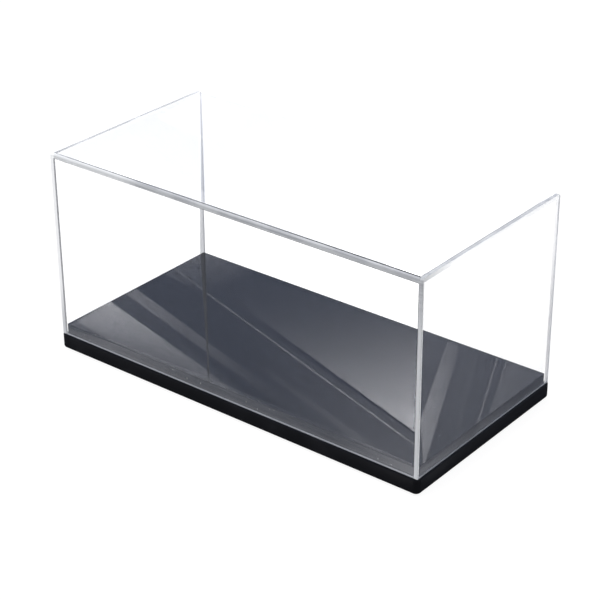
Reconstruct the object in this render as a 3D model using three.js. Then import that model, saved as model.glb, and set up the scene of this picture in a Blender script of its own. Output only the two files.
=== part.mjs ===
// Display case: a clear five-sided cover of bonded sheets that stands on a black base.
// Millimetres. +X runs to the right along the case, +Y to the back and +Z up. The origin is on
// the ground, below the middle of the case.
import * as THREE from 'three';

// Clear cover, over its outer faces
const COVER_LENGTH = 325;
const COVER_WIDTH = 161;
const COVER_HEIGHT = 147;
const SHEET = 3;
const TOP_SHEET = 4;
const COVER_CORNER_RADIUS = 2;

// Base board, which the cover stands on
const BASE_MARGIN = 1.2;
const BASE_THICKNESS = 11.75;
const BASE_CORNER_RADIUS = 4;
const BASE_LOWER_EASE = 2;
const BASE_UPPER_EASE = 1;

// Raised floor plate, which keeps the cover in place
const FLOOR_THICKNESS = 8;
const FLOOR_CORNER_RADIUS = 0.6;
const FLOOR_EASE = 0.2;
const COVER_CLEARANCE = 0.2;

// Feet under the base board
const FOOT_RADIUS = 6;
const FOOT_HEIGHT = 1.6;
const FOOT_EDGE_RADIUS = 0.4;
const FOOT_INSET = 16;

// How finely round forms are cut into flat facets
const CORNER_FACETS = 10;
const EASE_FACETS = 5;
const FOOT_SIDES = 40;

// Sizes and heights worked out from those above
const INNER_LENGTH = COVER_LENGTH - 2 * SHEET;
const INNER_WIDTH = COVER_WIDTH - 2 * SHEET;
const BASE_LENGTH = COVER_LENGTH + 2 * BASE_MARGIN;
const BASE_WIDTH = COVER_WIDTH + 2 * BASE_MARGIN;
const FLOOR_LENGTH = INNER_LENGTH - 2 * COVER_CLEARANCE;
const FLOOR_WIDTH = INNER_WIDTH - 2 * COVER_CLEARANCE;
const WALL_HEIGHT = COVER_HEIGHT - TOP_SHEET;
const LEDGE_Z = FOOT_HEIGHT + BASE_THICKNESS;

const clearAcrylic = new THREE.MeshStandardMaterial({
  color: 0xeef2f5,
  roughness: 0.04,
  metalness: 0,
  transparent: true,
  opacity: 0.22,
});
const satinBlack = new THREE.MeshStandardMaterial({ color: 0x17181b, roughness: 0.5, metalness: 0 });
const glossBlack = new THREE.MeshStandardMaterial({ color: 0x101216, roughness: 0.08, metalness: 0 });
const darkRubber = new THREE.MeshStandardMaterial({ color: 0x1c1c1d, roughness: 0.85, metalness: 0 });

// A section of the cover across its width: square at the foot, with the two top corners rounded.
function roundedTopSection(width, height, radius) {
  const y = width / 2;
  const shape = new THREE.Shape();
  shape.moveTo(-y, 0);
  shape.lineTo(y, 0);
  shape.lineTo(y, height - radius);
  shape.absarc(y - radius, height - radius, radius, 0, Math.PI / 2);
  shape.lineTo(-y + radius, height);
  shape.absarc(-y + radius, height - radius, radius, Math.PI / 2, Math.PI);
  return shape;
}

// How far in and how far up each outline of a rounded edge lies, from the flat face outwards.
function easeSteps(ease) {
  const steps = [];
  for (let i = 0; i <= EASE_FACETS; i += 1) {
    const angle = (i / EASE_FACETS) * (Math.PI / 2);
    steps.push({ inset: ease * (1 - Math.sin(angle)), rise: ease * (1 - Math.cos(angle)) });
  }
  return steps;
}

// A flat board that lies on Z zero: outlines with rounded corners, one above the other, with faces
// between them. The eases round off its lower and upper edges.
function easedBoard(length, width, thickness, radius, lowerEase, upperEase) {
  const lower = easeSteps(lowerEase).map(({ inset, rise }) => ({ inset, z: rise }));
  const upper = easeSteps(upperEase).map(({ inset, rise }) => ({ inset, z: thickness - rise }));
  const levels = [...lower, ...upper.reverse()];
  const perCorner = CORNER_FACETS + 1;
  const around = 4 * perCorner;
  const points = [];
  for (const { inset, z } of levels) {
    for (let k = 0; k < around; k += 1) {
      const corner = Math.floor(k / perCorner);
      const step = k % perCorner;
      const angle = (corner + step / CORNER_FACETS) * (Math.PI / 2);
      const sideX = corner === 0 || corner === 3 ? 1 : -1;
      const sideY = corner < 2 ? 1 : -1;
      const x = sideX * (length / 2 - radius) + (radius - inset) * Math.cos(angle);
      const y = sideY * (width / 2 - radius) + (radius - inset) * Math.sin(angle);
      points.push(x, y, z);
    }
  }
  const faces = [];
  for (let level = 0; level < levels.length - 1; level += 1) {
    for (let k = 0; k < around; k += 1) {
      const here = level * around + k;
      const next = level * around + ((k + 1) % around);
      faces.push(here, next, next + around, here, next + around, here + around);
    }
  }
  const last = (levels.length - 1) * around;
  for (let k = 1; k < around - 1; k += 1) {
    faces.push(0, k + 1, k);
    faces.push(last, last + k, last + k + 1);
  }
  const board = new THREE.BufferGeometry();
  board.setAttribute('position', new THREE.Float32BufferAttribute(points, 3));
  board.setIndex(faces);
  board.computeVertexNormals();
  return board;
}

// A section across the cover, drawn in Y and Z, made solid along X from xStart.
function alongLength(section, xStart, xLength) {
  const solid = new THREE.ExtrudeGeometry(section, {
    depth: xLength,
    bevelEnabled: false,
    curveSegments: CORNER_FACETS,
  });
  const yToZToX = new THREE.Matrix4().makeBasis(
    new THREE.Vector3(0, 1, 0),
    new THREE.Vector3(0, 0, 1),
    new THREE.Vector3(1, 0, 0),
  );
  return solid.applyMatrix4(yToZToX).translate(xStart, 0, 0);
}

// Half the section of a foot, from its sole's middle to its top's middle, turned about its axis.
function footSolid() {
  const profile = [new THREE.Vector2(0, 0)];
  for (const { inset, rise } of easeSteps(FOOT_EDGE_RADIUS)) {
    profile.push(new THREE.Vector2(FOOT_RADIUS - inset, rise));
  }
  profile.push(new THREE.Vector2(FOOT_RADIUS, FOOT_HEIGHT));
  profile.push(new THREE.Vector2(0, FOOT_HEIGHT));
  const foot = new THREE.LatheGeometry(profile, FOOT_SIDES);
  return foot.rotateX(Math.PI / 2);
}

function piece(name, geometry, material) {
  const mesh = new THREE.Mesh(geometry, material);
  mesh.name = name;
  return mesh;
}

// The two end sheets are full height and depth, so their polished edges show at the front and on
// top. The top sheet lies between them, over the front and back sheets.
function makeCover() {
  const cover = new THREE.Group();
  cover.position.z = LEDGE_Z;
  const endSection = roundedTopSection(COVER_WIDTH, COVER_HEIGHT, COVER_CORNER_RADIUS);
  const leftX = -COVER_LENGTH / 2;
  cover.add(piece('left_panel', alongLength(endSection, leftX, SHEET), clearAcrylic));
  cover.add(piece('right_panel', alongLength(endSection, -leftX - SHEET, SHEET), clearAcrylic));

  const topSection = roundedTopSection(COVER_WIDTH, TOP_SHEET, COVER_CORNER_RADIUS);
  const top = piece('top_panel', alongLength(topSection, -INNER_LENGTH / 2, INNER_LENGTH), clearAcrylic);
  top.position.z = WALL_HEIGHT;
  cover.add(top);

  const wallY = COVER_WIDTH / 2 - SHEET / 2;
  for (const [name, y] of [['front_panel', -wallY], ['back_panel', wallY]]) {
    const wall = piece(name, new THREE.BoxGeometry(INNER_LENGTH, SHEET, WALL_HEIGHT), clearAcrylic);
    wall.position.set(0, y, WALL_HEIGHT / 2);
    cover.add(wall);
  }
  return cover;
}

// The board, and on it the plate that fills the foot of the cover and leaves a ledge for its rim.
function makeBase() {
  const base = new THREE.Group();
  const board = easedBoard(
    BASE_LENGTH,
    BASE_WIDTH,
    BASE_THICKNESS,
    BASE_CORNER_RADIUS,
    BASE_LOWER_EASE,
    BASE_UPPER_EASE,
  );
  const boardMesh = piece('base_board', board, satinBlack);
  boardMesh.position.z = FOOT_HEIGHT;
  base.add(boardMesh);

  const floor = easedBoard(
    FLOOR_LENGTH,
    FLOOR_WIDTH,
    FLOOR_THICKNESS,
    FLOOR_CORNER_RADIUS,
    FLOOR_EASE,
    FLOOR_EASE,
  );
  const floorMesh = piece('floor_plate', floor, glossBlack);
  floorMesh.position.z = LEDGE_Z;
  base.add(floorMesh);
  return base;
}

// Four low rubber feet, one near each corner of the board.
function makeFeet() {
  const feet = new THREE.Group();
  const x = BASE_LENGTH / 2 - FOOT_INSET;
  const y = BASE_WIDTH / 2 - FOOT_INSET;
  for (const [end, alongX] of [['left', -x], ['right', x]]) {
    for (const [side, alongY] of [['front', -y], ['back', y]]) {
      const foot = piece(`foot_${side}_${end}`, footSolid(), darkRubber);
      foot.position.set(alongX, alongY, 0);
      feet.add(foot);
    }
  }
  return feet;
}

const displayCase = new THREE.Group();
displayCase.add(makeCover(), makeBase(), makeFeet());

export default displayCase;
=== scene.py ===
# %% [markdown]
# An acrylic display case, finished around its CAD frame.
#
# The real case is a long clear cover, bonded from five sheets, that stands on a black base board
# and drops over a raised gloss floor plate. The CAD frame already holds every piece at its real
# size, so this file only makes the finished surfaces: the polished sheets with their cut edges,
# the satin board, the gloss plate and the rubber feet. Each one takes its size from the frame.

# %% Load the frame
import math

import bmesh
import bpy
from mathutils import Euler, Matrix, Vector


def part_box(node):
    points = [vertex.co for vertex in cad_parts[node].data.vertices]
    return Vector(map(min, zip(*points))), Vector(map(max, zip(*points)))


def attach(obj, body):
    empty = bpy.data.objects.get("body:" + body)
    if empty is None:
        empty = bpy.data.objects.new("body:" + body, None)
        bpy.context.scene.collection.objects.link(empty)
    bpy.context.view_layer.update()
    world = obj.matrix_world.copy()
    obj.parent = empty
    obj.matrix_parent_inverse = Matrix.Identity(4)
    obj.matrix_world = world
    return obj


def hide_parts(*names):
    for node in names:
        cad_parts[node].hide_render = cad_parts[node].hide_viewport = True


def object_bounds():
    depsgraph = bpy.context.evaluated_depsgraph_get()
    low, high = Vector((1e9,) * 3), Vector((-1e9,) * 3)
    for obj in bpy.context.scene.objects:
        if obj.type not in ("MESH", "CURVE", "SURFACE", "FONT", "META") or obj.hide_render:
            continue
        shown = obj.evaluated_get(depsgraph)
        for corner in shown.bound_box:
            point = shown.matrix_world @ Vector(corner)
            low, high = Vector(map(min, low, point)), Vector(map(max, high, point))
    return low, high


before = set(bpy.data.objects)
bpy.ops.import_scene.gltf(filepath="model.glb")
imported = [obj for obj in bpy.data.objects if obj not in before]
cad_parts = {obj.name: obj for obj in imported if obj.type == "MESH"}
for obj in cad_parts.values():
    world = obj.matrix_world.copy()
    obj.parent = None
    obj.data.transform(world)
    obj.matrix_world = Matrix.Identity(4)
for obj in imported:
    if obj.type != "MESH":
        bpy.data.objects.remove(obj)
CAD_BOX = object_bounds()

MM = 0.001
CUBIC_CM = 1e-6
scene = bpy.context.scene
scene.view_settings.view_transform = "Standard"
print("CAD box, mm:", [[round(x / MM, 1) for x in corner] for corner in CAD_BOX])

# %% [markdown]
# The camera stands where the photograph was taken. Its place and turn were worked out from the
# straight edges of the case. Blender's camera looks along its own -Z, so it is tipped up from
# looking straight down, turned about the vertical, and rolled a little about its own line of
# sight. A long lens keeps the upright edges almost parallel, as they are in the photograph.

# %% The camera
CAMERA_PLACE = Vector((714.12, -890.06, 657.81)) * MM
CAMERA_TURN = math.radians(38.703)
CAMERA_TIP = math.radians(62.360)
CAMERA_ROLL = math.radians(-0.347)
LENS = 107.274
SENSOR = 36.0
PICTURE = 600

camera_data = bpy.data.cameras.new("camera")
camera_data.lens = LENS
camera_data.sensor_width = SENSOR
camera = bpy.data.objects.new("camera", camera_data)
scene.collection.objects.link(camera)
camera_spin = Euler((CAMERA_TIP, 0.0, CAMERA_TURN)).to_matrix() @ Matrix.Rotation(CAMERA_ROLL, 3, "Z")
camera.matrix_world = Matrix.Translation(CAMERA_PLACE) @ camera_spin.to_4x4()
scene.camera = camera
print("camera to middle of case, mm:", round((CAMERA_PLACE - sum(CAD_BOX, Vector()) / 2).length / MM))

# %% [markdown]
# Materials and Geometry Nodes are both node trees, and both do arithmetic with Math nodes. Wired
# by hand, a formula is hard to read, so a small class writes it: each sum or product of two fields
# adds one Math node. The rule for a rounded board, further down, then reads like a formula.

# %% Helpers for node trees
class Field:
    """A value in a node tree. Arithmetic on it adds Math nodes."""

    def __init__(self, tree, socket):
        self.tree = tree
        self.socket = socket

    def math(self, operation, *others):
        node = self.tree.nodes.new("ShaderNodeMath")
        node.operation = operation
        for plug, value in zip(node.inputs, (self, *others)):
            plug_in(self.tree, plug, value)
        return Field(self.tree, node.outputs[0])

    def __add__(self, other):
        return self.math("ADD", other)

    def __sub__(self, other):
        return self.math("SUBTRACT", other)

    def __mul__(self, other):
        return self.math("MULTIPLY", other)

    def __truediv__(self, other):
        return self.math("DIVIDE", other)

    def __rsub__(self, other):
        return (self * -1.0).math("ADD", other)


def plug_in(tree, plug, value):
    """Links a field or a socket to a plug, or sets the plug's own value."""
    if isinstance(value, Field):
        tree.links.new(value.socket, plug)
    elif isinstance(value, bpy.types.NodeSocket):
        tree.links.new(value, plug)
    else:
        plug.default_value = value


def add_node(tree, kind, plugs=None, **settings):
    """Adds a node with its settings, and fills the plugs that are named."""
    node = tree.nodes.new(kind)
    for key, value in settings.items():
        setattr(node, key, value)
    for name, value in (plugs or {}).items():
        plug_in(tree, node.inputs[name], value)
    return node


def field_of(tree, kind, output, plugs=None, **settings):
    """One output of a new node, as a field."""
    return Field(tree, add_node(tree, kind, plugs, **settings).outputs[output])


# Where a Mix node keeps its share, its two colours and the mixed colour
MIX_SHARE, MIX_FIRST, MIX_SECOND, MIX_RESULT = 0, 6, 7, 2


def blend_colours(tree, share, first, second):
    """The first colour where the share is 0, the second where it is 1."""
    mix = add_node(tree, "ShaderNodeMix", data_type="RGBA")
    plug_in(tree, mix.inputs[MIX_SHARE], share)
    plug_in(tree, mix.inputs[MIX_FIRST], first)
    plug_in(tree, mix.inputs[MIX_SECOND], second)
    return mix.outputs[MIX_RESULT]


def new_material(name):
    """A new material, its node tree and its Principled shader."""
    made = bpy.data.materials.new(name)
    made.use_nodes = True
    return made, made.node_tree, made.node_tree.nodes["Principled BSDF"]


def two_shader_material(name, first, second):
    """A material whose surface is the sum of two shaders, each made by a function of the tree."""
    made, tree, principled = new_material(name)
    tree.nodes.remove(principled)
    both = add_node(tree, "ShaderNodeAddShader")
    tree.links.new(first(tree).outputs[0], both.inputs[0])
    tree.links.new(second(tree).outputs[0], both.inputs[1])
    tree.links.new(both.outputs[0], tree.nodes["Material Output"].inputs["Surface"])
    return made


print("helpers ready: fields, nodes, blends and new materials")

# %% [markdown]
# The case stands in a plain white studio. White is a colour of the backdrop here, not extra light:
# the ground and the world show as white to the camera and to rays that look straight through the
# clear sheets, while a ray that has been reflected sees the studio as a dim blue-grey, as the dark
# floor plate does in the photograph. The ground keeps a faint shadow of the base.

# %% The studio's white ground and world
WHITE = (1.0, 1.0, 1.0, 1.0)
NO_LIGHT = (0.0, 0.0, 0.0, 1.0)
THROUGH_SHEETS = 1.35
REFLECTED_GROUND = (0.03, 0.03, 0.04, 1.0)
REFLECTED_SKY = (0.33, 0.39, 0.55, 1.0)
SOFT_LIGHT = (0.66, 0.67, 0.69, 1.0)
GROUND_GLOW = 0.9
GROUND_COLOUR = (0.16, 0.16, 0.16, 1.0)
GROUND_HALF = 6.0
GROUND_DROP = 0.05 * MM


def seen_by_ray(tree, reflected, soft):
    """The backdrop's colour: white where it is looked at, else the reflected or the soft one."""
    path = add_node(tree, "ShaderNodeLightPath")
    # Glossy Depth counts the reflections so far, so above a half means at least one
    bounced = Field(tree, path.outputs["Glossy Depth"]).math("GREATER_THAN", 0.5)
    through = Field(tree, path.outputs["Is Transmission Ray"]) * (1.0 - bounced)
    white = add_node(tree, "ShaderNodeVectorMath", operation="SCALE")
    white.inputs[0].default_value = WHITE[:3]
    plug_in(tree, white.inputs["Scale"], through * (THROUGH_SHEETS - 1.0) + 1.0)
    looked_at = Field(tree, path.outputs["Is Camera Ray"]).math("MAXIMUM", through)
    mirrored = Field(tree, path.outputs["Is Glossy Ray"]).math("MAXIMUM", bounced)
    dim = blend_colours(tree, mirrored, soft, reflected)
    return blend_colours(tree, looked_at, dim, white.outputs[0])


def make_world():
    """A plain white sky that mirrors see as dim blue-grey."""
    world = bpy.data.worlds.new("studio")
    world.use_nodes = True
    tree = world.node_tree
    background = tree.nodes["Background"]
    plug_in(tree, background.inputs["Color"], seen_by_ray(tree, REFLECTED_SKY, SOFT_LIGHT))
    scene.world = world


def ground_paper(tree):
    """The paper of the ground, which takes the shadow."""
    return add_node(tree, "ShaderNodeBsdfDiffuse", {"Color": GROUND_COLOUR})


def ground_glow(tree):
    """The ground's own white, as each kind of ray sees it."""
    colour = seen_by_ray(tree, REFLECTED_GROUND, NO_LIGHT)
    return add_node(tree, "ShaderNodeEmission", {"Color": colour, "Strength": GROUND_GLOW})


def make_ground():
    """A wide flat ground, a hair below the feet."""
    corners = [(x, y, -GROUND_DROP) for x, y in ((-1, -1), (1, -1), (1, 1), (-1, 1))]
    corners = [(x * GROUND_HALF, y * GROUND_HALF, z) for x, y, z in corners]
    mesh = bpy.data.meshes.new("studio_ground")
    mesh.from_pydata(corners, [], [(0, 1, 2, 3)])
    ground = bpy.data.objects.new("studio_ground", mesh)
    scene.collection.objects.link(ground)
    mesh.materials.append(two_shader_material("white studio ground", ground_paper, ground_glow))


make_world()
make_ground()
print("studio: white ground", 2 * GROUND_HALF, "m wide")

# %% [markdown]
# Two large soft lamps light the case at a plain level, so a colour comes out about as it is
# written. The key lamp hangs high on the left, in front, and the fill lamp on the right. Big lamps
# far away give the satin board an even sheen without hard spots. They are hidden from reflections
# and from what is seen through the sheets, so that no lamp shows as a patch on the gloss floor.

# %% Two soft lamps
KEY_PLACE = Vector((-0.9, -1.2, 1.9))
FILL_PLACE = Vector((1.7, -0.5, 1.5))
KEY_POWER = 22.0
FILL_POWER = 9.0
LAMP_SIZE = 1.4


def soft_lamp(name, place, power):
    """A square lamp that faces the case, hidden from reflections and from what sheets show."""
    data = bpy.data.lights.new(name, "AREA")
    data.shape = "SQUARE"
    data.size = LAMP_SIZE
    data.energy = power
    lamp = bpy.data.objects.new(name, data)
    lamp.location = place
    lamp.rotation_euler = (-place).to_track_quat("-Z", "Y").to_euler()
    scene.collection.objects.link(lamp)
    lamp.visible_glossy = False
    lamp.visible_transmission = False


soft_lamp("key_lamp", KEY_PLACE, KEY_POWER)
soft_lamp("fill_lamp", FILL_PLACE, FILL_POWER)
print("lamps:", [light.name for light in bpy.data.lights])

# %% [markdown]
# The photograph's dark floor is crossed by bright streaks, which change direction at the front
# corner. They are reflections of long lights in the gloss floor plate. Light cards stand on a far
# wall behind the case for them, and only a reflection sees them. A card's corners are found
# backwards: from a pixel of the photograph, along the ray to the plate, mirrored, and on to the wall.

# %% Where a pixel's reflection meets the wall of cards
WALL_AWAY = 1.5
WALL_FACING = Vector((-math.sin(CAMERA_TURN), math.cos(CAMERA_TURN), 0.0))
PLATE_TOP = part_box("floor_plate")[1].z
FRONT_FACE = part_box("front_panel")[0].y
RIGHT_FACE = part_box("right_panel")[1].x
TABLE_CARD_HEIGHT = 0.3 * MM


def ray_through(pixel):
    """The direction from the camera through a pixel of the photograph."""
    offset = Vector((pixel[0] - PICTURE / 2, PICTURE / 2 - pixel[1]))
    step = SENSOR / PICTURE
    return (camera_spin @ Vector((offset.x * step, offset.y * step, -LENS))).normalized()


def mirrored_in_plate(pixel):
    """Where the ray of a pixel meets the wall of cards, once the plate has mirrored it."""
    ray = ray_through(pixel)
    hit = CAMERA_PLACE + ray * ((PLATE_TOP - CAMERA_PLACE.z) / ray.z)
    ray.z = -ray.z
    return hit + ray * ((WALL_AWAY - hit.dot(WALL_FACING)) / ray.dot(WALL_FACING))


def on_table(hit, ray):
    """Where a ray that was mirrored at a point of a sheet comes down to the table."""
    return hit + ray * ((TABLE_CARD_HEIGHT - hit.z) / ray.z)


def mirrored_in_front(pixel):
    """Where the ray of a pixel meets the table, once the front sheet has mirrored it."""
    ray = ray_through(pixel)
    hit = CAMERA_PLACE + ray * ((FRONT_FACE - CAMERA_PLACE.y) / ray.y)
    ray.y = -ray.y
    return on_table(hit, ray)


def mirrored_in_right(pixel):
    """Where the ray of a pixel meets the table, once the right sheet has mirrored it."""
    ray = ray_through(pixel)
    hit = CAMERA_PLACE + ray * ((RIGHT_FACE - CAMERA_PLACE.x) / ray.x)
    ray.x = -ray.x
    return on_table(hit, ray)


print("plate's top, mm:", round(PLATE_TOP / MM, 2), " wall of cards, m:", WALL_AWAY)

# %% [markdown]
# Each card is a fine grid between its four corners, with a brightness stored at every point, so
# that it can glow strongly at one end and fade at the other, as the streaks do. A fade above 1
# makes the glow drop quickly at first and slowly later. Cards add their light where they overlap.
# A few lie on the table, in front and on the right, for the strip at the foot of those two sheets,
# which mirror the table there. A card glows only for a ray that was mirrored exactly once, so that
# no second reflection of it shows from other sides.

# %% The light cards
CARD_STEPS = 16
CARD_TINT = (1.0, 0.99, 1.02, 1.0)
# For each card: its corners as pixels in turn round it, its glow at each corner, and its fade
WALL_CARDS = {
    "wedge": (((76.5, 320.5), (110.5, 300.9), (298, 434), (128, 350)), (2.1, 3.0, 0.1, 0.7), 2.0),
    "near_left": (((62, 328), (76.5, 320.5), (128, 350), (62, 334)), (1.0, 0.9, 0.2, 0.8), 1.0),
    "gap": (((110.5, 300.9), (125.7, 293.6), (222, 362), (222, 382)), (0.25, 0.25, 0.0, 0.0), 1.0),
    "far_left": (((165, 274), (204, 252), (256, 270), (205, 294)), (0.3, 0.75, 0.12, 0.0), 1.0),
    "band": (((125.7, 293.6), (137, 288.6), (300, 408), (300, 418.5)), (1.1, 1.1, 0.06, 0.06), 2.0),
    "tail": (((180, 341), (292, 424), (310, 436), (190, 386)), (0.1, 0.1, 0.2, 0.5), 1.0),
    "faint": (((262, 368), (266, 366), (412, 471), (400, 474)), (0.12, 0.12, 0.7, 0.7), 1.0),
    "line": (((170, 265.8), (172, 265.1), (417.5, 444.7), (417.5, 446.5)), (0.4, 0.4, 2.7, 2.7), 1.5),
    "patch": (((190, 266.8), (226, 255), (417.5, 322), (417.5, 432.7)), (0.0, 0.0, 0.6, 5.6), 3.0),
    "corner": (((230, 407.5), (230, 304), (417.5, 434.4), (417.5, 484)), (0.0, 0.0, 0.7, 1.1), 1.5),
    "right_wash": (((417.5, 320), (552, 366), (552, 386), (417.5, 484)), (0.55, 0.28, 0.22, 0.62), 1.0),
    "right_band": (((447, 341), (459.3, 346), (423.5, 467), (420, 420)), (0.8, 0.45, 2.2, 2.5), 1.0),
    "right_faint": (((463, 349), (469, 351), (448, 444), (441, 449)), (0.2, 0.2, 0.15, 0.15), 1.0),
    "right_thin": (((471, 352), (477, 354), (458, 437), (453, 441)), (0.25, 0.25, 0.3, 0.3), 1.0),
    "right_line": (((496, 357), (497.8, 357.6), (476, 430), (474.4, 430)), (1.0, 1.0, 1.4, 1.4), 1.0),
    "right_patch": (((505, 360), (548, 374), (540, 386), (484, 428)), (0.65, 0.3, 0.3, 1.0), 1.0),
}
# The same for the strip of the front sheet, and of the right one, that the plate's side shows through
FRONT_CARDS = {
    "front_left": (((60, 325), (110, 342), (110, 352), (60, 333)), (0.3, 0.6, 0.6, 0.3), 1.0),
    "front_near": (((110, 342), (200, 377), (200, 388), (110, 352)), (0.6, 0.3, 0.3, 0.6), 1.0),
    "front_middle": (((200, 377), (330, 431), (330, 444), (200, 388)), (0.3, 0.2, 0.2, 0.3), 1.0),
    "front_far": (((330, 431), (417, 469), (417, 481), (330, 444)), (0.2, 1.4, 1.4, 0.2), 2.0),
}
RIGHT_CARDS = {
    "right_near": (((420, 470), (480, 423), (480, 433), (420, 481)), (0.45, 0.1, 0.1, 0.45), 2.0),
    "right_far": (((480, 423), (540, 380), (540, 388), (480, 433)), (0.2, 0.0, 0.0, 0.2), 2.0),
}


def card_shine(tree):
    """Light at the strength stored on the card, for a ray that was mirrored exactly once."""
    mirrored_once = field_of(tree, "ShaderNodeLightPath", "Glossy Depth").math("COMPARE", 1.0, 0.5)
    glow = field_of(tree, "ShaderNodeAttribute", "Fac", attribute_name="glow")
    return add_node(tree, "ShaderNodeEmission", {"Color": CARD_TINT, "Strength": glow * mirrored_once})


def card_clear(tree):
    """Nothing to see: what is behind the card shows unchanged."""
    return add_node(tree, "ShaderNodeBsdfTransparent")


def across(corners, u, v):
    """A value between four corners that are given in turn round the card."""
    near = corners[0] * (1.0 - u) + corners[3] * u
    far = corners[1] * (1.0 - u) + corners[2] * u
    return near * (1.0 - v) + far * v


def make_card(name, mirrored, pixels, glows, fade, material):
    """A grid between four pixels' mirrored places, with its glow stored at each point."""
    shares = [i / CARD_STEPS for i in range(CARD_STEPS + 1)]
    places = [(u, v) for v in shares for u in shares]
    corners = [Vector(pixel) for pixel in pixels]
    points = [mirrored(across(corners, u, v)) for u, v in places]
    roots = [glow ** (1.0 / fade) for glow in glows]
    row = CARD_STEPS + 1
    faces = []
    for j in range(CARD_STEPS):
        for i in range(CARD_STEPS):
            first = j * row + i
            faces.append((first, first + 1, first + 1 + row, first + row))
    mesh = bpy.data.meshes.new(name + "_card")
    mesh.from_pydata(points, [], faces)
    glow = mesh.attributes.new("glow", "FLOAT", "POINT")
    glow.data.foreach_set("value", [across(roots, u, v) ** fade for u, v in places])
    mesh.materials.append(material)
    card = bpy.data.objects.new(name + "_card", mesh)
    scene.collection.objects.link(card)
    card.visible_camera = False
    card.visible_diffuse = False
    card.visible_shadow = False


card_paper = two_shader_material("light card", card_shine, card_clear)
card_paper.cycles.emission_sampling = "NONE"
for mirrored, cards in ((mirrored_in_plate, WALL_CARDS), (mirrored_in_front, FRONT_CARDS),
                        (mirrored_in_right, RIGHT_CARDS)):
    for card_name, (card_pixels, card_glows, card_fade) in cards.items():
        make_card(card_name, mirrored, card_pixels, card_glows, card_fade, card_paper)
print("light cards:", len(WALL_CARDS) + len(FRONT_CARDS) + len(RIGHT_CARDS))

# %% [markdown]
# Every finish here is one Principled shader with a little unevenness in it, and a few patterns on
# Object coordinates give all of it: noise, stretched for scratches and saw marks, round specks for
# dust and bubbles, and bands by height or depth. Object coordinates are in metres and move with the
# piece, so the marks keep their true size and stay in place when the cover is lifted. In the cells
# below, noise is written as its cycles per metre, stretch and turn, and specks as their cells per
# metre, size and share. A pair with FROM in its name says where a pattern begins and where it is
# full.

# %% Helpers for finishes
def roughen(tree, shader, height, depth, strength):
    """Gives a shader a bump of this depth, where the height is a field from 0 to 1."""
    plugs = {"Height": height, "Distance": depth, "Strength": strength}
    bump = add_node(tree, "ShaderNodeBump", plugs)
    tree.links.new(bump.outputs[0], shader.inputs["Normal"])


def ranged(field, low, high):
    """A field from 0 to 1, as one from low to high."""
    return field * (high - low) + low


def object_noise(tree, scale, stretch=(1.0, 1.0, 1.0), turn=(0.0, 0.0, 0.0), detail=3.0):
    """Noise on Object coordinates, in cycles per metre, stretched and turned."""
    place = add_node(tree, "ShaderNodeTexCoord").outputs["Object"]
    mapped = add_node(tree, "ShaderNodeMapping", {"Vector": place, "Rotation": turn, "Scale": stretch})
    plugs = {"Vector": mapped.outputs[0], "Scale": scale, "Detail": detail}
    return field_of(tree, "ShaderNodeTexNoise", "Fac", plugs)


def object_part(tree, axis):
    """One part, X, Y or Z, of the place of the point that is shaded, in metres."""
    place = add_node(tree, "ShaderNodeTexCoord").outputs["Object"]
    return field_of(tree, "ShaderNodeSeparateXYZ", axis, {"Vector": place})


def between(tree, value, low, high):
    """0 below low, 1 above high, and smooth between them."""
    plugs = {"Value": value, "From Min": low, "From Max": high}
    return field_of(tree, "ShaderNodeMapRange", "Result", plugs, interpolation_type="SMOOTHSTEP")


# How far out a speck is full, as a share of its size
SPECK_CORE = 0.4


def specks(tree, cells_per_metre, size, share):
    """Round specks: one in a cell at most, in a share of the cells."""
    place = add_node(tree, "ShaderNodeTexCoord").outputs["Object"]
    cell = add_node(tree, "ShaderNodeTexVoronoi", {"Vector": place, "Scale": cells_per_metre})
    inside = 1.0 - between(tree, Field(tree, cell.outputs["Distance"]), SPECK_CORE * size, size)
    drawn = field_of(tree, "ShaderNodeSeparateColor", "Red", {"Color": cell.outputs["Color"]})
    return inside * drawn.math("LESS_THAN", share)


print("helpers ready: noise, specks, bands, ranges and bumps")

# %% [markdown]
# Clear acrylic sheet is polished like glass, but softer: it picks up hairline scratches, and dust
# clings to it. One Principled shader with full transmission and the refractive index of acrylic
# does the clear part. A mask of fine specks, close to the foot of the sheets, turns a little of it
# into pale dust, and thin stretched noise gives the scratches their faint gloss. In the back left
# corner a grey wedge of painted shade lies on the inner face along the edge, widest at the foot.
# It has a faint painted glow too, which stands in for light that comes to it inside the sheets.

# %% Clear acrylic
ACRYLIC_IOR = 1.49
SHEET_CLEAR = (1.0, 1.0, 1.0, 1.0)
SHEET_DUST = (0.8, 0.82, 0.86, 1.0)
DUST_FADES = (12.0 * MM, 30.0 * MM)
DUST_SPECKS = (300.0, 0.16, 0.22)
DUST_SHARE = 0.8
DUST_ROUGHNESS = 0.3
SHEET_SCRATCHES = (30.0, (1.0, 1.0, 14.0), (0.5, 0.3, 0.7))
SCRATCH_FROM = (0.74, 0.80)
SCRATCH_ROUGHNESS = 0.04
# A grey wedge of painted shade at the back left corner, with a faint painted glow
SHADE_WEDGE_GREY = (0.38, 0.385, 0.40, 1.0)
SHADE_WEDGE_SHARE = 0.85
SHADE_WEDGE_ROUGHNESS = 0.4
SHADE_WEDGE_PAINTED_GLOW = 0.4
SHADE_WEDGE_GLOW_COLOUR = (0.94, 0.96, 1.0, 1.0)
SHADE_WEDGE_WIDTH = 5.0 * MM
SHADE_WEDGE_TOP = 118.0 * MM
SHADE_WEDGE_SKIN = (0.2 * MM, 0.4 * MM)
INNER_CORNER = (159.5 * MM, 77.5 * MM)


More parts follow.
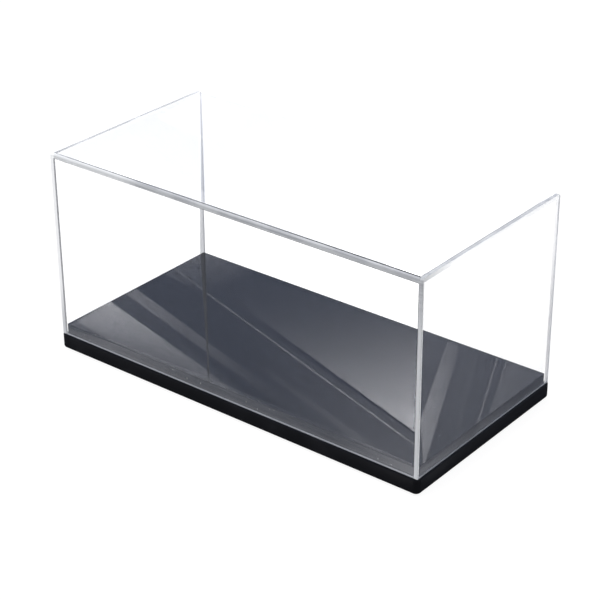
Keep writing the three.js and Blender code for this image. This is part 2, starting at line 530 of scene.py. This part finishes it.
def painted_shade_wedge(tree):
    """1 on a wedge of the left sheet's inner face along the back corner, widest at the foot."""
    end, back = INNER_CORNER
    close, far = SHADE_WEDGE_SKIN
    leftwards = 0.0 - object_part(tree, "X")
    inside = between(tree, leftwards, end - far, end - close)
    outside = between(tree, leftwards, end + close, end + far)
    width = (1.0 - object_part(tree, "Z") / SHADE_WEDGE_TOP).math("MAXIMUM", 0.0) * SHADE_WEDGE_WIDTH
    by_corner = between(tree, object_part(tree, "Y") + width, back - far, back)
    return inside * (1.0 - outside) * by_corner


def clear_acrylic():
    """Polished clear sheet: low dust, hairline scratches and a wedge of painted shade and glow."""
    made, tree, shader = new_material("clear acrylic sheet")
    low = 1.0 - between(tree, object_part(tree, "Z"), *DUST_FADES)
    dust = specks(tree, *DUST_SPECKS) * low * DUST_SHARE
    scratch = between(tree, object_noise(tree, *SHEET_SCRATCHES), *SCRATCH_FROM)
    # The grey wedge at the back left corner is painted shade
    shade_wedge = painted_shade_wedge(tree) * SHADE_WEDGE_SHARE
    dusty = blend_colours(tree, dust, SHEET_CLEAR, SHEET_DUST)
    plug_in(tree, shader.inputs["Base Color"], blend_colours(tree, shade_wedge, dusty, SHADE_WEDGE_GREY))
    rough = scratch * SCRATCH_ROUGHNESS + dust * DUST_ROUGHNESS + shade_wedge * SHADE_WEDGE_ROUGHNESS
    plug_in(tree, shader.inputs["Roughness"], rough)
    plug_in(tree, shader.inputs["Transmission Weight"], (1.0 - dust) * (1.0 - shade_wedge))
    # The wedge's faint glow is painted light
    shader.inputs["Emission Color"].default_value = SHADE_WEDGE_GLOW_COLOUR
    plug_in(tree, shader.inputs["Emission Strength"], shade_wedge * SHADE_WEDGE_PAINTED_GLOW)
    shader.inputs["IOR"].default_value = ACRYLIC_IOR
    return made


CLEAR = clear_acrylic()
print("finish:", CLEAR.name, "with", len(CLEAR.node_tree.nodes), "nodes")

# %% [markdown]
# Where a sheet was cut, its edge is not as clear as its face. Sawing leaves a fine frosting that
# catches light, in streaks along the cut, so cut edges show as grey lines. Low down and at the left
# end they are painted near-white, as painted light, and a small painted glow there stands for the
# light a clear sheet traps and lets out at its edges. The rim on the black board is a darker copy:
# painted shade. At a seam between two sheets the solvent cement has left a pale haze with a few
# small bubbles, and a painted glow high up, away from the front, stands for light the sheets trap.

# %% Cut edges, rim and cemented seams
CASE_TOP = CAD_BOX[1][2]
EDGE_GREY = (0.53, 0.54, 0.57, 1.0)
EDGE_PALE = (0.74, 0.75, 0.77, 1.0)
# Painted light: the near-white low down, and the near-white at the left end
EDGE_PAINTED_LIGHT = (0.94, 0.95, 0.97, 1.0)
EDGE_PAINTED_WHITE = (0.97, 0.98, 0.99, 1.0)
# The rim's colours are darker copies of the edge's: painted shade
RIM_SHADED_GREY = (0.40, 0.415, 0.45, 1.0)
RIM_SHADED_PALE = (0.55, 0.565, 0.60, 1.0)
# Heights over which the painted light low down gives way to the sawn streaks
PAINTED_LIGHT_FADES = (110 * MM, 165 * MM)
# Where the painted near-white of the left end begins and is full: leftwards, then up
PAINTED_WHITE_END = (74 * MM, 96 * MM)
PAINTED_WHITE_FROM = (18 * MM, 60 * MM)
END_SHEET = (158.5 * MM, 159.5 * MM)
EDGE_TRANSMISSION = 0.1
# Strength of the painted glow at the left end
EDGE_PAINTED_GLOW = 0.3
EDGE_ROUGHNESS = (0.3, 0.5)
SAW_STREAKS = (1100.0, (0.02, 1.0, 1.0))
SAW_PATCHES = 55.0
SAW_TOOTH = 2200.0
STREAK_SHARE = 0.6
PALE_FROM = (0.40, 0.60)
SEAM_HAZE = (0.92, 0.925, 0.935, 1.0)
SEAM_BUBBLE = (0.64, 0.65, 0.67, 1.0)
SEAM_BUBBLES = (420.0, 0.2, 0.12)
SEAM_ROUGHNESS = 0.6
# Painted light on the seams: its strength, and the heights and depths where it begins and is full
SEAM_PAINTED_GLOW = 0.4
SEAM_PAINTED_GLOW_ABOVE = (0.3 * CASE_TOP, 0.95 * CASE_TOP)
SEAM_PAINTED_GLOW_BEHIND = (-80 * MM, -40 * MM)


def frosted(name, grey, pale, low, painted_white):
    """A sawn edge: grey and pale streaks, and painted light low down and at the left end."""
    made, tree, shader = new_material(name)
    streaks = object_noise(tree, *SAW_STREAKS)
    patches = object_noise(tree, SAW_PATCHES)
    tooth = object_noise(tree, SAW_TOOTH, detail=2.0)
    height = object_part(tree, "Z")
    uneven = streaks * STREAK_SHARE + patches * (1.0 - STREAK_SHARE)
    sawn = blend_colours(tree, between(tree, uneven, *PALE_FROM), grey, pale)
    # Near-white low down is painted light; above it come the sawn streaks
    wear_and_painted_light = blend_colours(tree, between(tree, height, *PAINTED_LIGHT_FADES), low, sawn)
    leftwards = 0.0 - object_part(tree, "X")
    # Near-white at the left end is painted light
    clear = between(tree, leftwards, *PAINTED_WHITE_END) * between(tree, height, *PAINTED_WHITE_FROM)
    plug_in(tree, shader.inputs["Base Color"], blend_colours(tree, clear, wear_and_painted_light, painted_white))
    plug_in(tree, shader.inputs["Roughness"], ranged(tooth, *EDGE_ROUGHNESS))
    shader.inputs["Transmission Weight"].default_value = EDGE_TRANSMISSION
    shader.inputs["IOR"].default_value = ACRYLIC_IOR
    shader.inputs["Emission Color"].default_value = WHITE
    # The glow of the left end sheet's edges is painted light
    painted_glow = clear * between(tree, leftwards, *END_SHEET)
    plug_in(tree, shader.inputs["Emission Strength"], painted_glow * EDGE_PAINTED_GLOW)
    roughen(tree, shader, tooth, depth=0.05 * MM, strength=0.3)
    return made


def cemented_seam():
    """Pale haze of dried solvent cement, small bubbles, and a painted glow high at the back."""
    made, tree, shader = new_material("cemented seam")
    bubbles = specks(tree, *SEAM_BUBBLES)
    high = between(tree, object_part(tree, "Z"), *SEAM_PAINTED_GLOW_ABOVE)
    behind = between(tree, object_part(tree, "Y"), *SEAM_PAINTED_GLOW_BEHIND)
    plug_in(tree, shader.inputs["Base Color"], blend_colours(tree, bubbles, SEAM_HAZE, SEAM_BUBBLE))
    shader.inputs["Emission Color"].default_value = WHITE
    # The glow high up and away from the front is painted light
    plug_in(tree, shader.inputs["Emission Strength"], high * behind * SEAM_PAINTED_GLOW)
    shader.inputs["Roughness"].default_value = SEAM_ROUGHNESS
    shader.inputs["IOR"].default_value = ACRYLIC_IOR
    return made


CUT = frosted("frosted cut edge", EDGE_GREY, EDGE_PALE, EDGE_PAINTED_LIGHT, EDGE_PAINTED_WHITE)
# The rim is the same finish in darker colours: painted shade
RIM = frosted("sawn rim", RIM_SHADED_GREY, RIM_SHADED_PALE, RIM_SHADED_PALE, RIM_SHADED_PALE)
SEAM = cemented_seam()
print("finishes:", ", ".join(finish.name for finish in (CUT, RIM, SEAM)))

# %% [markdown]
# The base board is a satin black board with a fine tooth, a little rubbed in soft patches. The feet
# are plain dark rubber with a fine grain. Both are almost black, so what shows is their sheen: it is
# kept low, and noise makes it uneven, because an even sheen looks like wet paint.

# %% Satin board and dark rubber
BOARD_BLACK = (0.0060, 0.0060, 0.0070, 1.0)
BOARD_RUBBED = (0.022, 0.022, 0.025, 1.0)
BOARD_TOOTH = 1800.0
BOARD_PATCHES = 28.0
RUBBED_FROM = (0.5, 0.75)
RUBBED_SHARE = 0.5
BOARD_ROUGHNESS = (0.34, 0.50)
BOARD_GLOSS = 0.2
RUBBER_DARK = (0.014, 0.014, 0.015, 1.0)
RUBBER_GREY = (0.035, 0.035, 0.036, 1.0)
RUBBER_GRAIN = 1500.0
RUBBER_WORN_FROM = (0.45, 0.7)
RUBBER_ROUGHNESS = (0.7, 0.9)


def satin_board():
    """Satin black, with a fine tooth and rubbed patches."""
    made, tree, shader = new_material("satin black board")
    tooth = object_noise(tree, BOARD_TOOTH, detail=4.0)
    patches = object_noise(tree, BOARD_PATCHES)
    rubbed = between(tree, patches, *RUBBED_FROM) * RUBBED_SHARE
    plug_in(tree, shader.inputs["Base Color"], blend_colours(tree, rubbed, BOARD_BLACK, BOARD_RUBBED))
    plug_in(tree, shader.inputs["Roughness"], ranged(tooth, *BOARD_ROUGHNESS))
    shader.inputs["Specular IOR Level"].default_value = BOARD_GLOSS
    roughen(tree, shader, tooth, depth=0.06 * MM, strength=0.5)
    return made


def foot_rubber():
    """Dull dark rubber with a fine grain."""
    made, tree, shader = new_material("dark foot rubber")
    grain = object_noise(tree, RUBBER_GRAIN)
    wear_and_painted_light = between(tree, grain, *RUBBER_WORN_FROM)
    plug_in(tree, shader.inputs["Base Color"], blend_colours(tree, wear_and_painted_light, RUBBER_DARK, RUBBER_GREY))
    plug_in(tree, shader.inputs["Roughness"], ranged(grain, *RUBBER_ROUGHNESS))
    roughen(tree, shader, grain, depth=0.05 * MM, strength=0.5)
    return made


SATIN = satin_board()
RUBBER = foot_rubber()
print("finishes:", SATIN.name, "and", RUBBER.name)

# %% [markdown]
# The floor plate is gloss black acrylic: almost a mirror, so its colour is mostly the studio that
# it reflects, broken by hairline scratches and patches of fine dust. Its sides were sawn and left
# dull, so they get a material of their own. They are paler at the foot, where the bright rim of the
# sheets lights them.

# %% Gloss plate and its sawn sides
PLATE_BLACK = (0.010, 0.011, 0.014, 1.0)
PLATE_DUST = (0.22, 0.23, 0.26, 1.0)
PLATE_PATCHES = 16.0
MARKED_FROM = (0.40, 0.65)
PLATE_SCRATCHES = (22.0, (1.0, 16.0, 1.0), (0.0, 0.0, 0.9))
PLATE_SCRATCH_FROM = (0.72, 0.80)
PLATE_SCRATCH_SHARE = 0.08
PLATE_SPECKS = (170.0, 0.10, 0.22)
PLATE_SPECK_SHARE = 0.6
PLATE_ROUGHNESS = (0.003, 0.011)
MARK_ROUGHNESS = 0.3
SIDE_GREY = (0.052, 0.057, 0.069, 1.0)
SIDE_PALE = (0.070, 0.076, 0.092, 1.0)
SIDE_LIT = (0.115, 0.120, 0.135, 1.0)
SIDE_FOOT = (13.8 * MM, 17.0 * MM)
SIDE_STREAKS = (900.0, (0.05, 0.05, 1.0))
SIDE_PALE_FROM = (0.4, 0.65)
SIDE_ROUGHNESS = (0.4, 0.6)
SIDE_GLOSS = 0.15


def gloss_plate():
    """Gloss black, with scratches and fine dust in patches."""
    made, tree, shader = new_material("gloss black floor plate")
    patches = object_noise(tree, PLATE_PATCHES, detail=4.0)
    scratch = between(tree, object_noise(tree, *PLATE_SCRATCHES), *PLATE_SCRATCH_FROM)
    dust = specks(tree, *PLATE_SPECKS)
    marks = scratch * PLATE_SCRATCH_SHARE + dust * PLATE_SPECK_SHARE
    marks = marks * between(tree, patches, *MARKED_FROM)
    plug_in(tree, shader.inputs["Base Color"], blend_colours(tree, marks, PLATE_BLACK, PLATE_DUST))
    rough = ranged(patches, *PLATE_ROUGHNESS) + marks * MARK_ROUGHNESS
    plug_in(tree, shader.inputs["Roughness"], rough)
    shader.inputs["IOR"].default_value = ACRYLIC_IOR
    return made


def sawn_side():
    """Dull black acrylic with level saw streaks, paler at the foot."""
    made, tree, shader = new_material("sawn plate side")
    streaks = object_noise(tree, *SIDE_STREAKS)
    sawn = blend_colours(tree, between(tree, streaks, *SIDE_PALE_FROM), SIDE_GREY, SIDE_PALE)
    above_foot = between(tree, object_part(tree, "Z"), *SIDE_FOOT)
    plug_in(tree, shader.inputs["Base Color"], blend_colours(tree, above_foot, SIDE_LIT, sawn))
    plug_in(tree, shader.inputs["Roughness"], ranged(streaks, *SIDE_ROUGHNESS))
    shader.inputs["Specular IOR Level"].default_value = SIDE_GLOSS
    roughen(tree, shader, streaks, depth=0.05 * MM, strength=0.3)
    return made


GLOSS = gloss_plate()
SIDE = sawn_side()
print("finishes:", GLOSS.name, "and", SIDE.name)

# %% [markdown]
# Every flat piece of this case follows one rule: a rectangle with rounded corners, given a
# thickness, with its sharp edges eased. So one Geometry Nodes tree makes them all. It starts from
# a plain cylinder, whose points lie in columns round it and in levels up it, and moves each point
# to its place. The columns share out the four corner arcs, and the levels follow the eased edge.

# %% The rounded board as a node tree
MERGE_DISTANCE = 0.002 * MM


def new_input(tree, name, kind, value=None):
    """A named input of a tree, with its starting value."""
    socket = tree.interface.new_socket(name=name, in_out="INPUT", socket_type="NodeSocket" + kind)
    if value is not None:
        socket.default_value = value
    return socket


def board_tree():
    """A flat board with rounded corners and eased edges, from named sizes."""
    tree = bpy.data.node_groups.new("rounded board", "GeometryNodeTree")
    for name, value in (("Length", 100 * MM), ("Width", 50 * MM), ("Thickness", 3 * MM),
                        ("Far Corner Radius", 2 * MM), ("Near Corner Radius", 2 * MM),
                        ("Upper Ease", 0.3 * MM), ("Lower Ease", 0.3 * MM)):
        new_input(tree, name, "Float", value)
    new_input(tree, "Corner Steps", "Int", 8)
    new_input(tree, "Ease Steps", "Int", 4)
    new_input(tree, "Turn", "Vector")
    new_input(tree, "Centre", "Vector")
    new_input(tree, "Finish", "Material")
    tree.interface.new_socket(name="Board", in_out="OUTPUT", socket_type="NodeSocketGeometry")
    given = add_node(tree, "NodeGroupInput").outputs
    length, width, thickness, far, near, upper, lower, corner_steps, ease_steps = (
        Field(tree, socket) for socket in given[:9])

    column_count = (corner_steps + 1.0) * 4.0
    level_count = ease_steps * 2.0 + 1.0
    drum = add_node(tree, "GeometryNodeMeshCylinder", {"Vertices": column_count,
                    "Side Segments": level_count, "Radius": 1.0, "Depth": 1.0}, fill_type="NGON")
    split = add_node(tree, "ShaderNodeSeparateXYZ",
                     {"Vector": add_node(tree, "GeometryNodeInputPosition").outputs[0]})
    x, y, z = (Field(tree, socket) for socket in split.outputs)

    turned = y.math("ARCTAN2", x) / math.tau + 1.0
    column = (turned * column_count).math("ROUND").math("FLOORED_MODULO", column_count)
    corner = (column / (corner_steps + 1.0)).math("FLOOR")
    step = column - corner * (corner_steps + 1.0)
    right_angle = math.pi / 2
    angle = (corner + step / corner_steps) * right_angle
    side_x = ((corner + 0.5) * right_angle).math("COSINE").math("SIGN")
    side_y = ((corner + 0.5) * right_angle).math("SINE").math("SIGN")
    radius = near + (far - near) * side_y.math("GREATER_THAN", 0.0)

    above = z.math("GREATER_THAN", 0.0)
    ease = lower + (upper - lower) * above
    level = ((z + 0.5) * level_count).math("ROUND")
    from_face = level.math("MINIMUM", level_count - level)
    eased = from_face.math("MINIMUM", ease_steps) / ease_steps * right_angle
    inset = ease - ease * eased.math("SINE")
    rise = ease - ease * eased.math("COSINE")
    height = rise + above * (thickness - rise * 2.0) - thickness / 2.0
    out_x = side_x * (length / 2.0 - radius) + (radius - inset) * angle.math("COSINE")
    out_y = side_y * (width / 2.0 - radius) + (radius - inset) * angle.math("SINE")

    place = add_node(tree, "ShaderNodeCombineXYZ", {"X": out_x, "Y": out_y, "Z": height})
    shaped = add_node(tree, "GeometryNodeSetPosition",
                      {"Geometry": drum.outputs["Mesh"], "Position": place.outputs[0]})
    merged = add_node(tree, "GeometryNodeMergeByDistance",
                      {"Geometry": shaped.outputs[0], "Distance": MERGE_DISTANCE})
    moved = add_node(tree, "GeometryNodeTransform", {"Geometry": merged.outputs[0],
                     "Rotation": given["Turn"], "Translation": given["Centre"]})
    real = add_node(tree, "GeometryNodeRealizeInstances", {"Geometry": moved.outputs[0]})
    dressed = add_node(tree, "GeometryNodeSetMaterial",
                       {"Geometry": real.outputs[0], "Material": given["Finish"]})
    add_node(tree, "NodeGroupOutput", {"Board": dressed.outputs[0]})
    return tree


BOARD = board_tree()
print("rounded board tree:", len(BOARD.nodes), "nodes")

# %% [markdown]
# A tree becomes a plain mesh in three steps: a carrier object gets the tree as a modifier, the
# evaluated result is copied into a mesh, and the modifier goes. Broad flat faces must stay truly
# flat, because a polished sheet shows any bend in its shading, so every edge that borders one is
# marked sharp and only the rounded corners are smoothed.

# %% From tree to plain mesh
FLAT_LIMIT = math.cos(math.radians(0.5))


def mesh_from_tree(name, tree, values):
    """An object whose mesh is what the tree makes from these values."""
    carrier = bpy.data.objects.new(name, bpy.data.meshes.new(name + "_carrier"))
    scene.collection.objects.link(carrier)
    modifier = carrier.modifiers.new("shape", "NODES")
    modifier.node_group = tree
    for item in tree.interface.items_tree:
        if item.item_type == "SOCKET" and item.in_out == "INPUT" and item.name in values:
            modifier[item.identifier] = values[item.name]
    graph = bpy.context.evaluated_depsgraph_get()
    mesh = bpy.data.meshes.new_from_object(carrier.evaluated_get(graph), depsgraph=graph)
    mesh.name = name
    carrier.modifiers.remove(modifier)
    carrier.data = mesh
    mesh.materials.clear()
    mesh.materials.append(values["Finish"])
    for face in mesh.polygons:
        face.material_index = 0
    return carrier


def is_flat(face):
    """True where a face looks straight along X, Y or Z."""
    return max(abs(part) for part in face.normal) > FLAT_LIMIT


def crisp_flats(piece):
    """Smooths the rounded stretches and keeps the flat faces flat."""
    shape = bmesh.new()
    shape.from_mesh(piece.data)
    for face in shape.faces:
        face.smooth = True
    for edge in shape.edges:
        edge.smooth = not any(is_flat(face) for face in edge.link_faces)
    shape.to_mesh(piece.data)
    shape.free()


def report(piece):
    """Prints a piece's size, faces, open edges and volume."""
    shape = bmesh.new()
    shape.from_mesh(piece.data)
    open_edges = sum(1 for edge in shape.edges if len(edge.link_faces) != 2)
    size = [round(side / MM, 2) for side in piece.dimensions]
    print(piece.name, "mm", size, "faces", len(shape.faces), "open edges", open_edges,
          "volume cm3", round(shape.calc_volume(signed=True) / CUBIC_CM, 1))
    shape.free()


# %% [markdown]
# The base board and the floor plate are the tree's plainest use. Both lie flat, so the outline
# already lies the right way. Sizes come from the frame's boxes and the corner radii are those that
# the photograph shows at the right end of the case.

# %% Base board and floor plate
BOARD_CORNER_RADIUS = 4.0 * MM
BOARD_UPPER_EASE = 1.0 * MM
BOARD_LOWER_EASE = 2.0 * MM
PLATE_CORNER_RADIUS = 0.6 * MM
PLATE_EASE = 0.2 * MM
# Steps round a corner and over an eased edge
BOARD_STEPS = (14, 8)
UPRIGHT = 0.1
TOP_FINISH, SIDE_FINISH = range(2)


def lying_board(name, node, radius, eases, finish):
    """One flat board in the place of a CAD node, with its lower and upper ease."""
    low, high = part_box(node)
    size = high - low
    piece = mesh_from_tree(name, BOARD, {
        "Length": size.x, "Width": size.y, "Thickness": size.z,
        "Far Corner Radius": radius, "Near Corner Radius": radius,
        "Upper Ease": eases[1], "Lower Ease": eases[0],
        "Corner Steps": BOARD_STEPS[0], "Ease Steps": BOARD_STEPS[1],
        "Centre": tuple((low + high) / 2), "Finish": finish})
    crisp_flats(piece)
    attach(piece, "base")
    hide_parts(node)
    report(piece)
    return piece


lying_board("satin_base_board", "base_board", BOARD_CORNER_RADIUS,
            (BOARD_LOWER_EASE, BOARD_UPPER_EASE), SATIN)
plate = lying_board("gloss_floor_plate", "floor_plate", PLATE_CORNER_RADIUS,
                    (PLATE_EASE, PLATE_EASE), GLOSS)
plate.data.materials.append(SIDE)
for face in plate.data.polygons:
    face.material_index = SIDE_FINISH if abs(face.normal.z) < UPRIGHT else TOP_FINISH

# %% [markdown]
# The five sheets use the same tree, stood on edge. Seen from the end, each sheet has its outline
# across the case and up, and its thickness or length along the case, so one turn suits all five.
# Only the outer corners along the top are rounded. The sheets end a hair above the board, because
# two faces in one plane would flicker between their two colours.

# %% The five clear sheets
ON_EDGE = (math.pi / 2, 0.0, math.pi / 2)
COVER_LOW = Vector((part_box("left_panel")[0].x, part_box("front_panel")[0].y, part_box("front_panel")[0].z))
COVER_HIGH = Vector((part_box("right_panel")[1].x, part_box("back_panel")[1].y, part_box("top_panel")[1].z))
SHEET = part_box("left_panel")[1].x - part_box("left_panel")[0].x
TOP_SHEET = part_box("top_panel")[1].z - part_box("top_panel")[0].z
TOP_CORNER_RADIUS = 2.0 * MM
SHEET_EASE = 0.2 * MM
SHEET_STEPS = (10, 3)
SEAT_GAP = 0.03 * MM
NEAR = 0.01 * MM
# How far a face's normal leans along an axis: for an edge that was cut, and for the top's back
EDGE_ON = 0.5
BACKWARDS = 0.3
CLEAR_FACE, CUT_FACE, SEAM_FACE, RIM_FACE = range(4)
INNER_X = COVER_HIGH.x - SHEET
INNER_Y = COVER_HIGH.y - SHEET
INNER_Z = COVER_HIGH.z - TOP_SHEET


def cut_along(piece, planes):
    """Adds edges to a mesh where planes cross it. A plane is a point and a normal."""
    shape = bmesh.new()
    shape.from_mesh(piece.data)
    for point, normal in planes:
        everything = list(shape.verts) + list(shape.edges) + list(shape.faces)
        bmesh.ops.bisect_plane(shape, geom=everything, plane_co=point, plane_no=normal, dist=NEAR / 10)
    shape.to_mesh(piece.data)
    shape.free()


SEAM_PLANES = (
    ((0.0, INNER_Y, 0.0), (0.0, 1.0, 0.0)),
    ((0.0, -INNER_Y, 0.0), (0.0, 1.0, 0.0)),
    ((0.0, 0.0, INNER_Z), (0.0, 0.0, 1.0)),
)


def face_finish(face):
    """Which finish a face of the cover has, by where it lies and how it is turned."""
    at = face.center
    end_plane = abs(abs(at.x) - INNER_X) < NEAR
    in_top_or_wall = abs(at.y) > INNER_Y or at.z > INNER_Z
    if end_plane and in_top_or_wall and abs(face.normal.x) > FLAT_LIMIT:
        return SEAM_FACE
    if abs(at.z - INNER_Z) < NEAR and abs(at.y) > INNER_Y and abs(at.x) < INNER_X:
        return SEAM_FACE
    if at.z < COVER_LOW.z + SEAT_GAP + SHEET_EASE:
        return RIM_FACE
    end_sheet = abs(at.x) > INNER_X
    if end_sheet and abs(face.normal.x) < EDGE_ON:
        return CUT_FACE
    if at.z > INNER_Z and face.normal.y < -EDGE_ON:
        return CUT_FACE
    if at.z > INNER_Z and face.normal.y > BACKWARDS:
        return SEAM_FACE
    return CLEAR_FACE


def clear_sheet(name, node, upper_radius):
    """One sheet of the cover in the place of a CAD node, with a finish for each kind of face."""
    low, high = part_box(node)
    low.z = max(low.z, COVER_LOW.z + SEAT_GAP)
    size = high - low
    piece = mesh_from_tree(name, BOARD, {
        "Length": size.y, "Width": size.z, "Thickness": size.x,
        "Far Corner Radius": upper_radius, "Near Corner Radius": SHEET_EASE,
        "Upper Ease": SHEET_EASE, "Lower Ease": SHEET_EASE,
        "Corner Steps": SHEET_STEPS[0], "Ease Steps": SHEET_STEPS[1],
        "Turn": ON_EDGE, "Centre": tuple((low + high) / 2), "Finish": CLEAR})
    cut_along(piece, SEAM_PLANES)
    for finish in (CUT, SEAM, RIM):
        piece.data.materials.append(finish)
    for face in piece.data.polygons:
        face.material_index = face_finish(face)
    crisp_flats(piece)
    piece.visible_shadow = False
    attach(piece, "cover")
    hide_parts(node)
    report(piece)


clear_sheet("left_sheet", "left_panel", TOP_CORNER_RADIUS)
clear_sheet("right_sheet", "right_panel", TOP_CORNER_RADIUS)
clear_sheet("top_sheet", "top_panel", TOP_CORNER_RADIUS)
clear_sheet("front_sheet", "front_panel", SHEET_EASE)
clear_sheet("back_sheet", "back_panel", SHEET_EASE)

# %% [markdown]
# The four feet repeat, so a second tree sets them out: a grid of two by two points, one foot on
# each. A foot is the same rounded board, with its corners rounded until it is a disc.

# %% The rubber feet
FOOT_NODES = ("foot_front_left", "foot_back_left", "foot_front_right", "foot_back_right")
FOOT_EASE = 0.4 * MM
FOOT_STEPS = (12, 5)


def feet_tree():
    """Four round feet at the corners of a rectangle, from named sizes."""
    tree = bpy.data.node_groups.new("four feet", "GeometryNodeTree")
    for name in ("Spacing Along", "Spacing Across", "Foot Diameter", "Foot Height", "Edge Ease"):
        new_input(tree, name, "Float", 10 * MM)
    new_input(tree, "Finish", "Material")
    tree.interface.new_socket(name="Feet", in_out="OUTPUT", socket_type="NodeSocketGeometry")
    given = add_node(tree, "NodeGroupInput").outputs
    diameter = Field(tree, given["Foot Diameter"])
    foot = add_node(tree, "GeometryNodeGroup", node_tree=BOARD)
    centre = add_node(tree, "ShaderNodeCombineXYZ", {"Z": Field(tree, given["Foot Height"]) / 2.0})
    for name, value in {
        "Length": diameter, "Width": diameter, "Thickness": given["Foot Height"],
        "Far Corner Radius": diameter / 2.0, "Near Corner Radius": diameter / 2.0,
        "Upper Ease": given["Edge Ease"], "Lower Ease": given["Edge Ease"],
        "Corner Steps": FOOT_STEPS[0], "Ease Steps": FOOT_STEPS[1],
        "Centre": centre.outputs[0], "Finish": given["Finish"],
    }.items():
        plug_in(tree, foot.inputs[name], value)
    spots = add_node(tree, "GeometryNodeMeshGrid", {"Size X": given["Spacing Along"],
                     "Size Y": given["Spacing Across"], "Vertices X": 2, "Vertices Y": 2})
    set_out = add_node(tree, "GeometryNodeInstanceOnPoints",
                       {"Points": spots.outputs["Mesh"], "Instance": foot.outputs[0]})
    real = add_node(tree, "GeometryNodeRealizeInstances", {"Geometry": set_out.outputs[0]})
    dressed = add_node(tree, "GeometryNodeSetMaterial",
                       {"Geometry": real.outputs[0], "Material": given["Finish"]})
    add_node(tree, "NodeGroupOutput", {"Feet": dressed.outputs[0]})
    return tree


foot_low, foot_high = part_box("foot_front_right")
foot_middle = (foot_low + foot_high) / 2
feet = mesh_from_tree("rubber_feet", feet_tree(), {
    "Spacing Along": 2 * abs(foot_middle.x), "Spacing Across": 2 * abs(foot_middle.y),
    "Foot Diameter": foot_high.x - foot_low.x, "Foot Height": foot_high.z - foot_low.z,
    "Edge Ease": FOOT_EASE, "Finish": RUBBER})
crisp_flats(feet)
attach(feet, "base")
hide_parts(*FOOT_NODES)
report(feet)
